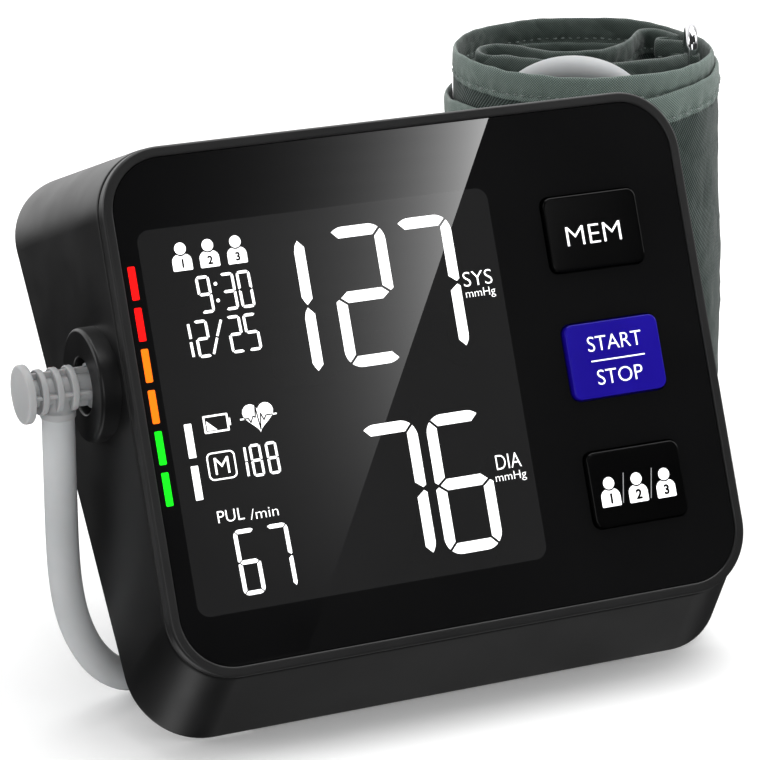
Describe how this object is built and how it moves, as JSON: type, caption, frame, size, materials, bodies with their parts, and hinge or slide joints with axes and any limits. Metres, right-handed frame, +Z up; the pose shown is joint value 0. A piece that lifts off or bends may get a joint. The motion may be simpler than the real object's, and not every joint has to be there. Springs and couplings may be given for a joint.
{
  "type": "upper-arm blood pressure monitor with cuff",
  "caption": "Table-top blood pressure monitor leaning back on a fold-out stand, with its air hose plugged into the side and the arm cuff rolled up behind it.",
  "frame": {"origin": "middle of the front foot's sole, on the surface the monitor stands on", "axes": "+X to the monitor's right as seen from its face, +Y from the face to the back, +Z up"},
  "size_m": [0.2344, 0.2311, 0.132],
  "materials": {
    "casing": "satin moulded plastic, fine spark texture",
    "frame": "satin",
    "glass": "polished",
    "display": "polished, dark display window",
    "digits": "lit segments",
    "led_red": "lit",
    "led_orange": "lit",
    "led_green": "lit",
    "key_black": "polished",
    "key_blue": "polished",
    "key_print": "printed ink",
    "rubber": "matt",
    "pcb": "solder mask",
    "component": "matt",
    "metal": "plain",
    "chrome": "polished",
    "plug": "satin moulded plastic",
    "hose": "smooth flexible hose",
    "tube": "soft tube",
    "cell": "printed sleeve",
    "nylon": "woven nylon with a soft sheen",
    "nylon_hem": "plain-weave binding",
    "thread": "sewing thread",
    "lining": "soft woven lining",
    "hook": "hook tape",
    "bladder": "matt"
  },
  "bodies": {
    "root": {"rear_housing": "casing", "base_cover": "casing", "front_frame": "frame", "glass_panel": "glass", "lcd_module": "display", "led_bars": "led_red", "keypad_mat": "rubber", "main_pcb": "pcb", "tact_switches": "metal", "buzzer": "component", "pressure_sensor": "component", "air_pump_motor": "metal", "air_pump_head": "component", "release_valve": "metal", "inner_tube": "tube", "air_socket": "casing", "socket_seal": "rubber", "battery_box": "component", "battery_cells": "cell", "battery_contacts": "metal", "door_pins": "metal", "base_screws": "metal", "front_foot": "rubber", "stand_pin": "metal"},
    "mem_key": {"button_mem": "key_black"},
    "start_key": {"button_start": "key_blue"},
    "user_key": {"button_user": "key_black"},
    "battery_lid": {"battery_door": "casing"},
    "stand": {"stand_leg": "casing", "stand_foot": "rubber"},
    "cuff_set": {"air_plug": "plug", "plug_ring": "rubber", "air_hose": "hose", "hose_port": "plug", "cuff_outer_wrap": "nylon", "cuff_inner_wrap": "nylon", "cuff_lining": "lining", "cuff_bladder": "bladder", "cuff_tail": "nylon", "hook_pad": "hook", "dbar_sleeve": "nylon"},
    "dbar_ring": {"dbar": "chrome"}
  },
  "joints": [
    {"name": "mem_press", "type": "slide", "parent": "root", "child": "mem_key", "axis": [0, 0.9184, -0.3955], "range_m": [0, 0.0008], "stiffness_N_per_m": 900, "springref_m": -0.0004},
    {"name": "start_press", "type": "slide", "parent": "root", "child": "start_key", "axis": [0, 0.9184, -0.3955], "range_m": [0, 0.0008], "stiffness_N_per_m": 900, "springref_m": -0.0004},
    {"name": "user_press", "type": "slide", "parent": "root", "child": "user_key", "axis": [0, 0.9184, -0.3955], "range_m": [0, 0.0008], "stiffness_N_per_m": 900, "springref_m": -0.0004},
    {"name": "battery_lid_hinge", "type": "hinge", "parent": "root", "child": "battery_lid", "pos_m": [0.053, 0.03427, 0.04794], "axis": [-1, 0, 0], "range_deg": [0, 90]},
    {"name": "stand_fold", "type": "hinge", "parent": "root", "child": "stand", "pos_m": [0, 0.05833, 0.08004], "axis": [1, 0, 0], "range_deg": [-62, 0]},
    {"name": "plug_pull", "type": "slide", "parent": "root", "child": "cuff_set", "axis": [-1, 0, 0], "range_m": [0, 0.016]},
    {"name": "dbar_swing", "type": "hinge", "parent": "cuff_set", "child": "dbar_ring", "pos_m": [0.12847, 0.11636, 0.06], "axis": [0, 0, 1], "range_deg": [0, 40]}
  ]
}
